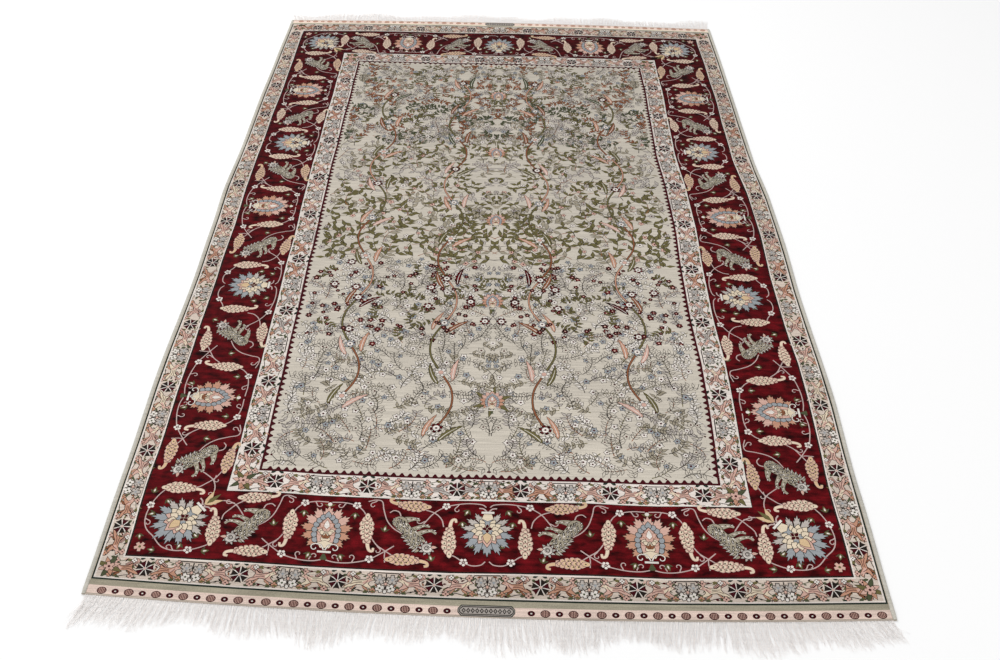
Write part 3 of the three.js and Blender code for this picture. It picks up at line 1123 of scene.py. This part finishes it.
def straightened(corners, edges):
    """The same edges without the corners that lie on a straight run between two others."""
    beside = [set() for _ in corners]
    for first, second in edges.tolist():
        beside[first].add(second)
        beside[second].add(first)
    for corner, (x, y) in enumerate(corners.tolist()):
        if len(beside[corner]) != 2:
            continue
        first, second = beside[corner]
        if second in beside[first]:
            continue
        before_x, before_y = corners[first] - (x, y)
        after_x, after_y = corners[second] - (x, y)
        across = abs(before_x * after_y - before_y * after_x)
        length = math.hypot(after_x - before_x, after_y - before_y)
        if across < STRAIGHT * length and before_x * after_x + before_y * after_y < 0:
            beside[first] ^= {corner, second}
            beside[second] ^= {corner, first}
            beside[corner] = set()
    return np.array([(k, end) for k, ends in enumerate(beside) for end in ends if k < end])


def cut_tile(shapes, low, high):
    """The triangles of one tile, as corner points, and the number of the yarn of each."""
    points = [(low[0], low[1]), (high[0], low[1]), (high[0], high[1]), (low[0], high[1])]
    grid = [(x, y) for x in np.linspace(low[0], high[0], GRID_STEPS + 1)
            for y in np.linspace(low[1], high[1], GRID_STEPS + 1)]
    edges = [(0, 1), (1, 2), (2, 3), (3, 0)]
    for outline, *_ in shapes:
        first, size = len(points), len(outline)
        points.extend(outline)
        edges.extend((first + k, first + (k + 1) % size) for k in range(size))
    corners, faces, x, y = cut(points + grid, edges, low, high)
    edges = straightened(corners, borders(faces, yarn_under(shapes, x, y), len(corners)))
    used, edges = np.unique(edges, return_inverse=True)
    points = np.concatenate([corners[used], grid])
    corners, faces, x, y = cut(points, edges.reshape(-1, 2).tolist(), low, high)
    return corners[faces], yarn_under(shapes, x, y)


def cut_pattern(design):
    """All triangles of the top on the straight-sided sheet, and the yarn of each."""
    names = list(YARNS)
    shapes = [(o, names.index(yarn), o.min(0), o.max(0)) for o, yarn in design.shapes]
    lows = np.array([low for *_, low, _ in shapes])
    highs = np.array([high for *_, high in shapes])
    columns = np.linspace(-PATTERN[0], PATTERN[0], TILE_COUNT[0] + 1)
    rows = np.linspace(-PATTERN[1], PATTERN[1], TILE_COUNT[1] + 1)
    triangles, yarns = [], []
    for low_x, high_x in zip(columns, columns[1:]):
        for low_y, high_y in zip(rows, rows[1:]):
            low, high = (low_x, low_y), (high_x, high_y)
            touching = np.nonzero(np.all((lows < high) & (highs > low), axis=1))[0]
            tile_triangles, tile_yarns = cut_tile([shapes[k] for k in touching], low, high)
            triangles.append(tile_triangles)
            yarns.append(tile_yarns)
    return np.concatenate(triangles), np.concatenate(yarns)


def new_object(name, data):
    thing = bpy.data.objects.new(name, data)
    bpy.context.scene.collection.objects.link(thing)
    return thing


def new_mesh(name, points, faces, smooth_faces=True):
    """An object from points, in metres, and its faces."""
    mesh = bpy.data.meshes.new(name)
    count, size = faces.shape
    mesh.vertices.add(len(points))
    mesh.vertices.foreach_set("co", np.ravel(points))
    mesh.loops.add(count * size)
    mesh.loops.foreach_set("vertex_index", faces.ravel().astype(np.int32))
    mesh.polygons.add(count)
    mesh.polygons.foreach_set("loop_start", np.arange(0, count * size, size, dtype=np.int32))
    mesh.polygons.foreach_set("use_smooth", [smooth_faces] * count)
    mesh.update(calc_edges=True)
    mesh.validate()
    return new_object(name, mesh)


MAP_MARGIN = 0.002


def add_bake_map(piece):
    """A flat map of the rug's plan, so that what is baked keeps its place on the rug."""
    mesh = piece.data
    spots = np.zeros(len(mesh.vertices) * 3)
    mesh.vertices.foreach_get("co", spots)
    spots = spots.reshape(-1, 3)[:, :2]
    corner_points = np.zeros(len(mesh.loops), int)
    mesh.loops.foreach_get("vertex_index", corner_points)
    low, high = spots.min(0), spots.max(0)
    flat = MAP_MARGIN + (1 - 2 * MAP_MARGIN) * (spots - low) / (high - low).max()
    layer = mesh.uv_layers.new(name="OFBake")
    layer.data.foreach_set("uv", flat[corner_points].ravel())


LARGEST_PIECE = 180000    # triangles, above which a yarn's mesh is made in three parts along the rug
MICRONS = 1000            # in a millimetre: corners that agree to one are the same


def make_pattern():
    """A mesh for each yarn, or three. Together they are the whole top of the rug."""
    triangles, yarns = cut_pattern(whole_pattern())
    flat = triangles.reshape(-1, 2)
    keys = np.round(flat * MICRONS).astype(np.int64) @ (1, 10 ** 8)
    _, first, index = np.unique(keys, return_index=True, return_inverse=True)
    sheet = flat[first]
    faces = index.reshape(-1, 3)
    heights = top_height(sheet[:, 0], sheet[:, 1])
    true_x, true_y = lay_out(*wander(sheet[:, 0], sheet[:, 1]))
    points = np.stack([true_x, true_y, heights * MM], 1)
    distinct = np.all(faces != np.roll(faces, 1, axis=1), axis=1)
    pieces = []
    along = sheet[faces[:, 0], 1]
    for number, yarn in enumerate(YARNS):
        mine = (yarns == number) & distinct
        if mine.sum() > LARGEST_PIECE:
            cuts = [-np.inf, *np.quantile(along[mine], (1 / 3, 2 / 3)), np.inf]
            parts = {f"{yarn}_{k}": mine & (along > low) & (along <= high)
                     for k, (low, high) in enumerate(zip(cuts, cuts[1:]))}
        else:
            parts = {yarn: mine}
        for name, chosen in parts.items():
            used, own = np.unique(faces[chosen], return_inverse=True)
            piece = new_mesh("pile_" + name, points[used], own.reshape(-1, 3))
            add_bake_map(piece)
            pieces.append((yarn, piece))
    return pieces


# The foundation, the selvedges and the fringes


def stations(half_size, insets, count):
    """Places from one edge to the other: the edge's profile, even steps, the profile again."""
    low = [inset - half_size for inset in insets]
    middle = np.linspace(low[-1], -low[-1], count + 1)[1:-1]
    return np.array([*low, *middle, *[-v for v in reversed(low)]])


SLAB_DROP = 0.3     # the foundation's top lies this much under the pattern
SLAB_INSET = 1      # its sides lie this much inside the selvedges


def make_foundation():
    """The closed body of warps and wefts under the pattern, down to the floor."""
    columns = stations(HALF_WIDTH - SLAB_INSET, SIDE_INSETS, 44)
    rows = stations(HALF_LENGTH, END_INSETS, 72)
    x, y = np.meshgrid(columns, rows)
    true_x, true_y = lay_out(x.ravel(), y.ravel())
    height = top_height(x.ravel(), y.ravel()) - SLAB_DROP
    top = np.stack([true_x, true_y, height * MM], 1)
    bottom = np.stack([true_x, true_y, np.zeros(len(true_x))], 1)
    across, count = len(columns), len(columns) * len(rows)
    start = (np.arange(len(rows) - 1)[:, None] * across + np.arange(across - 1)).ravel()
    upper = np.stack([start, start + 1, start + across + 1, start + across], 1)
    lower = upper[:, ::-1] + count
    ring = [*range(across), *range(2 * across - 1, count, across),
            *range(count - 2, count - across - 1, -1), *range(count - 2 * across, 0, -across)]
    wall = [(b, a, a + count, b + count) for a, b in zip(ring, ring[1:] + ring[:1])]
    points = np.concatenate([top, bottom])
    return new_mesh("foundation", points, np.concatenate([upper, lower, wall]), False)


# A selvedge's section, as the inset from the edge and the height, and the middle of its cord
SELVEDGE_SECTION = [
    (0.4, 0.1), (-0.1, 0.9), (0.3, 1.9), (1.6, 2.75), (3.4, 3.0), (5.4, 2.7), (6.8, 1.9), (7.3, 1.0),
]
SELVEDGE_MIDDLE = (3.5, 1.4)
WRAP_PITCH = 2.5      # of the overcast yarn along a selvedge
WRAP_WAIST = 0.86     # the cord's girth between two turns
WRAP_SLANT = 0.14     # along the rug, for each millimetre across the cord
END_GIRTH = 0.75      # the cord's girth at its very ends
END_TAPER = 10        # over this length it grows to the full girth


def make_selvedge(name, side, seed):
    """A cord of warps that are overcast with silk, along one side."""
    draw = np.random.default_rng(seed)
    count = int(2 * HALF_LENGTH / WRAP_PITCH) * 2 + 1
    y = np.linspace(-HALF_LENGTH, HALF_LENGTH, count)
    section = np.array(SELVEDGE_SECTION)
    middle = np.array(SELVEDGE_MIDDLE)
    girth = np.where(np.arange(count) % 2 == 0, 1.0, WRAP_WAIST) * draw.normal(1, 0.02, count)
    ends = np.interp(HALF_LENGTH - np.abs(y), (0, END_TAPER), (END_GIRTH, 1))
    ring = middle + (section - middle)[None] * (girth * ends)[:, None, None]
    slant = (section[:, 0] - middle[0]) * WRAP_SLANT
    x = side * (HALF_WIDTH - ring[..., 0])
    along = np.clip(y[:, None] + slant, -HALF_LENGTH, HALF_LENGTH)
    true_x, true_y = lay_out(x.ravel(), along.ravel())
    points = np.stack([true_x, true_y, np.maximum(ring[..., 1].ravel(), 0.05) * MM], 1)
    size = len(section)
    start = (np.arange(count - 1)[:, None] * size + np.arange(size)).ravel()
    beside = (np.arange(count - 1)[:, None] * size + (np.arange(size) + 1) % size).ravel()
    faces = np.stack([start, start + size, beside + size, beside], 1)
    if side > 0:
        faces = faces[:, ::-1]
    return new_mesh(name, points, faces)


LOCKS = 140           # at each end, as in the CAD
LOCK_ROOT_WIDTH = 6.4
THREADS_PER_LOCK = 13
THREAD_STEPS = 6
THREAD_RADIUS = 0.33
# Long and short tufts follow each other along an end, and they sweep this way and that together.
# Each wave has its swing, as a share of the length or sideways, its turns and its shift.
TUFT_WAVES = [(0.17, 11.3, 1), (0.12, 29, 2)]
SWEEP_WAVES = [(5, 9.7, 1), (2.5, 22, -1)]


def sum_of_waves(waves, phase, across):
    return sum(swing * np.sin(turns * across + shift * phase) for swing, turns, shift in waves)


def make_fringe(name, end, length, fan, phase, seed):
    """Loose silk warps in tufts, lying on the floor past one end. The tufts are the CAD's locks."""
    draw = np.random.default_rng(seed)
    across = 2 * (np.arange(LOCKS) + 0.5) / LOCKS - 1
    reach = length * (1 + sum_of_waves(TUFT_WAVES, phase, across))
    sweep = fan * across ** 5 + sum_of_waves(SWEEP_WAVES, phase, across)
    shape = (LOCKS, THREADS_PER_LOCK, 1)
    share = np.linspace(0, 1, THREAD_STEPS + 1)[None, None, :]
    pitch = 2 * (HALF_WIDTH - 2) / LOCKS
    offset = ((np.arange(THREADS_PER_LOCK) + 0.5) / THREADS_PER_LOCK - 0.5)[None, :, None] * pitch
    offset = offset + draw.normal(0, 0.35, shape)
    long = reach[:, None, None] * np.clip(draw.normal(0.9, 0.16, shape), 0.45, 1.12)
    gather = 1 - draw.uniform(0.35, 0.9, (LOCKS, 1, 1)) * share
    stray = (sweep[:, None, None] + draw.normal(0, 2.8, shape)) * share ** 1.5
    swing = draw.uniform(0.4, 2.2, shape)
    turns = draw.uniform(5, 11, shape)
    curl = swing * np.sin(share * turns + draw.uniform(0, 6, shape))
    root_x, root_y = lay_out(across * (HALF_WIDTH - LOCK_ROOT_WIDTH), np.full(LOCKS, end * HALF_LENGTH))
    x = (root_x / MM)[:, None, None] + offset * gather + stray + curl * share
    y = (root_y / MM)[:, None, None] + end * (share * long - 1.5) + 0.5 * curl * share
    rest = draw.uniform(0.3, 1.7, shape)
    z = 0.7 * (1 - share) + rest * share + 0.7 * np.sin(math.pi * share) * draw.uniform(0, 1, shape)
    radius = THREAD_RADIUS * (1 - 0.35 * share)
    corners = []
    for k in range(3):
        angle = math.tau * k / 3 + 0.5
        corners.append(np.stack([x + radius * math.cos(angle), y, z + radius * math.sin(angle)], -1))
    points = np.stack(corners, 3).reshape(-1, 3)
    points[:, 2] = np.maximum(points[:, 2], 0.02)
    rings = np.arange(LOCKS * THREADS_PER_LOCK)[:, None] * (THREAD_STEPS + 1) + np.arange(THREAD_STEPS)
    rings = rings.ravel() * 3
    faces = [np.stack([rings + k, rings + 3 + k, rings + 3 + after, rings + after], 1)
             for k, after in ((0, 1), (1, 2), (2, 0))]
    return new_mesh(name, points * MM, np.concatenate(faces))


# Materials


def linear(colour):
    """A colour's linear values from its sRGB hex form."""
    values = [int(colour[k:k + 2], 16) / 255 for k in (1, 3, 5)]
    return [v / 12.92 if v <= 0.04045 else ((v + 0.055) / 1.055) ** 2.4 for v in values]


def shader_node(tree, kind, sockets, operation=None):
    """A new node, with its inputs: each a plain value or another node's output."""
    new = tree.nodes.new("ShaderNode" + kind)
    if operation:
        new.operation = operation
    for name, value in sockets.items():
        if isinstance(value, bpy.types.NodeSocket):
            tree.links.new(value, new.inputs[name])
        else:
            new.inputs[name].default_value = value
    return new


def noise(tree, place, scale, detail, stretch=(1, 1, 1)):
    """A noise value over the rug's own place, with its scale in turns for each metre."""
    spread = shader_node(tree, "Mapping", {"Vector": place, "Scale": stretch}).outputs["Vector"]
    sockets = {"Vector": spread, "Scale": scale, "Detail": detail}
    return shader_node(tree, "TexNoise", sockets).outputs["Fac"]


def ramp(tree, value, start, stop, low, high):
    """A value's place between start and stop, as one between low and high."""
    sockets = {"Value": value, "From Min": start, "From Max": stop, "To Min": low, "To Max": high}
    return shader_node(tree, "MapRange", sockets).outputs["Result"]


def uneven(tree, value, share):
    """A noise value as a factor about 1."""
    return ramp(tree, value, 0.3, 0.7, 1 - share, 1 + share)


def product(tree, factors):
    """The product of several values."""
    result = factors[0]
    for factor in factors[1:]:
        result = shader_node(tree, "Math", {0: result, 1: factor}, "MULTIPLY").outputs["Value"]
    return result


# Painted shade: the pile is made darker by the near end: where it is darkest and where that fades
# out along the rug, in metres, and the shade at its darkest
PAINTED_NEAR_SHADE = (-0.955, -0.865, 0.72)
KNOTS = 620                 # changes in a metre, of the noise of the rows of knots
STREAKS = (14, 330, 1)      # the same of the streaks along the wefts, across and along the rug
PATCHES = (4.2, 6.7)        # and of the slow changes of shade
KNOT_RELIEF = 0.0006


def new_material(name, roughness):
    """A material with a shader of this roughness, and the shader."""
    material = bpy.data.materials.new(name)
    material.use_nodes = True
    shader = material.node_tree.nodes["Principled BSDF"]
    shader.inputs["Roughness"].default_value = roughness
    return material, shader


def silk(name, colour, streaks=0.1, knots=0.1, patches=0.06, patch=PATCHES, bump=0.25, painted_end_shading=(1, 1),
         painted_near_shade=False):
    """Dyed silk: rows of knots, streaks along the wefts and slow changes of shade, each with its
    share. nap scales the colour from the near end to the far end: painted shade and painted sheen,
    for how the light falls on the pile, which leans towards the far one. trodden adds painted
    shade by the near end."""
    material, shader = new_material(name, 0.7)
    tree = material.node_tree
    place = tree.nodes.new("ShaderNodeTexCoord").outputs["Object"]
    along = shader_node(tree, "SeparateXYZ", {"Vector": place}).outputs["Y"]
    knot = noise(tree, place, KNOTS, 1)
    factors = [
        uneven(tree, noise(tree, place, 1, 3, STREAKS), streaks),
        uneven(tree, knot, knots),
        uneven(tree, noise(tree, place, 1, 3, (*patch, 1)), patches),
        # painted shade and painted sheen, from the near end to the far end
        ramp(tree, along, -HALF_LENGTH * MM, HALF_LENGTH * MM, *painted_end_shading),
    ]
    # painted shade, darker towards the near end
    if painted_near_shade:
        start, stop, shade = PAINTED_NEAR_SHADE
        factors.append(ramp(tree, along, start, stop, shade, 1))
    sockets = {0: linear(colour), "Scale": product(tree, factors)}
    tint = shader_node(tree, "VectorMath", sockets, "SCALE").outputs["Vector"]
    tree.links.new(tint, shader.inputs["Base Color"])
    if bump:
        sockets = {"Strength": bump, "Distance": KNOT_RELIEF, "Height": knot}
        relief = shader_node(tree, "Bump", sockets).outputs["Normal"]
        tree.links.new(relief, shader.inputs["Normal"])
    shader.inputs["Specular IOR Level"].default_value = 0.05
    return material


# Painted shade and painted sheen: the scale of each yarn's colour at the near and far ends, for how the
# light falls on the leaning pile
COMMON_PAINTED_END_SHADING = (1.02, 0.84)
CRIMSON_PAINTED_END_SHADING = (1.2, 0.55)
PAINTED_END_SHADING = {
    "field": (1.05, 0.78), "cream": (1.02, 0.9), "pearl": (1.05, 0.76), "white": (1.04, 0.82),
    "mist": (1.04, 0.82), "stone": (1.04, 0.82), "sage": (1, 2.2), "end_pink": (1, 1.1),
}


def pile_silk(yarn):
    """The silk of one yarn of the pile. The crimson is uneven, and fine lines need no relief. Every yarn
    gets painted shade and sheen between the ends, and all but sage and end_pink get painted shade by the
    near end.
    """
    name, colour = "silk_" + yarn, YARNS[yarn]
    # painted shade and painted sheen at the near and far ends of the rug
    painted_end_shading = PAINTED_END_SHADING.get(yarn, COMMON_PAINTED_END_SHADING)
    if yarn in ("sage", "end_pink"):
        return silk(name, colour, 0.16, 0.14, 0.1, (16, 30), painted_end_shading=painted_end_shading)
    if yarn == "crimson":
        return silk(name, colour, 0.22, 0.25, 0.9, (42, 75), painted_end_shading=CRIMSON_PAINTED_END_SHADING, painted_near_shade=True)
    if yarn in PAINTED_END_SHADING:
        return silk(name, colour, 0.16, 0.12, 0.07, painted_end_shading=painted_end_shading, painted_near_shade=True)
    return silk(name, colour, bump=0 if yarn in FINE_YARNS else 0.25, painted_end_shading=painted_end_shading, painted_near_shade=True)


# Camera, floor and light

LENS = 36.15
CAMERA_AT = (-8.0, -1758.3, 1285.7)      # mm, in the straight-sided sheet's frame
CAMERA_DOWN = 42.333
CAMERA_YAW = -1.345
CAMERA_ROLL = -0.68
CAMERA_SHIFT_X = 0.0288


def make_camera():
    data = bpy.data.cameras.new("camera")
    data.lens = LENS
    data.sensor_width = 36
    data.shift_x = CAMERA_SHIFT_X
    camera = new_object("camera", data)
    placed = Matrix.Translation(Vector(CAMERA_AT) * MM + Vector((MIDDLE_X, MIDDLE_Y, 0)))
    for degrees, axis in ((-CAMERA_YAW, "Z"), (90 - CAMERA_DOWN, "X"), (-CAMERA_ROLL, "Z")):
        placed = placed @ Matrix.Rotation(math.radians(degrees), 4, axis)
    camera.matrix_world = placed
    bpy.context.scene.camera = camera


FLOOR_HALF = 9          # metres
FLOOR_DROP = 0.0005     # under the rug


def make_floor():
    corners = [(*corner, -FLOOR_DROP) for corner in rectangle(FLOOR_HALF, FLOOR_HALF)]
    floor = new_mesh("floor", corners, np.array([(0, 1, 2, 3)]))
    material, shader = new_material("floor_white", 0.9)
    shader.inputs["Base Color"].default_value = (0.96, 0.96, 0.96, 1)
    floor.data.materials.append(material)


LIGHT_SIZE = 2.5


def area_light(name, place, power):
    """A soft light that points at the middle of the rug."""
    data = bpy.data.lights.new(name, "AREA")
    data.shape = "SQUARE"
    data.size = LIGHT_SIZE
    data.energy = power
    light = new_object(name, data)
    light.location = place
    light.rotation_euler = (-Vector(place)).to_track_quat("-Z", "Y").to_euler()


def make_light():
    world = bpy.data.worlds.new("studio")
    world.use_nodes = True
    background = world.node_tree.nodes["Background"]
    background.inputs["Color"].default_value = (1, 1, 1, 1)
    background.inputs["Strength"].default_value = 0.75
    bpy.context.scene.world = world
    area_light("key", (-2.6, 1.8, 3.2), power=88)
    area_light("fill", (1.6, -2.6, 3.2), power=18)


bpy.context.scene.view_settings.view_transform = "Standard"
make_camera()
make_floor()
make_light()

pieces = make_pattern()
materials = {yarn: pile_silk(yarn) for yarn in YARNS}
for yarn, piece in pieces:
    piece.data.materials.append(materials[yarn])

pattern_pieces = [piece for _, piece in pieces]
foundation = make_foundation()
foundation.data.materials.append(silk("foundation_silk", FOUNDATION_COLOUR, bump=0))
selvedges = [
    make_selvedge("selvedge_left", side=-1, seed=3),
    make_selvedge("selvedge_right", side=1, seed=4),
]
for selvedge in selvedges:
    selvedge.data.materials.append(silk("selvedge_silk", SELVEDGE_COLOUR))
fringe_near = make_fringe("warps_near", end=-1, length=46, fan=14, phase=0.4, seed=21)
fringe_far = make_fringe("warps_far", end=1, length=43, fan=8, phase=2.9, seed=22)
for fringe in (fringe_near, fringe_far):
    fringe.data.materials.append(silk("warp_silk", WARP_COLOUR, 0.05, 0.03, 0.04, bump=0))

for piece in [*pattern_pieces, foundation, *selvedges]:
    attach(piece, "root")
for fringe in (fringe_near, fringe_far):
    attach(fringe, "root")
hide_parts("cloth")
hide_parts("fringe_near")
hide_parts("fringe_far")
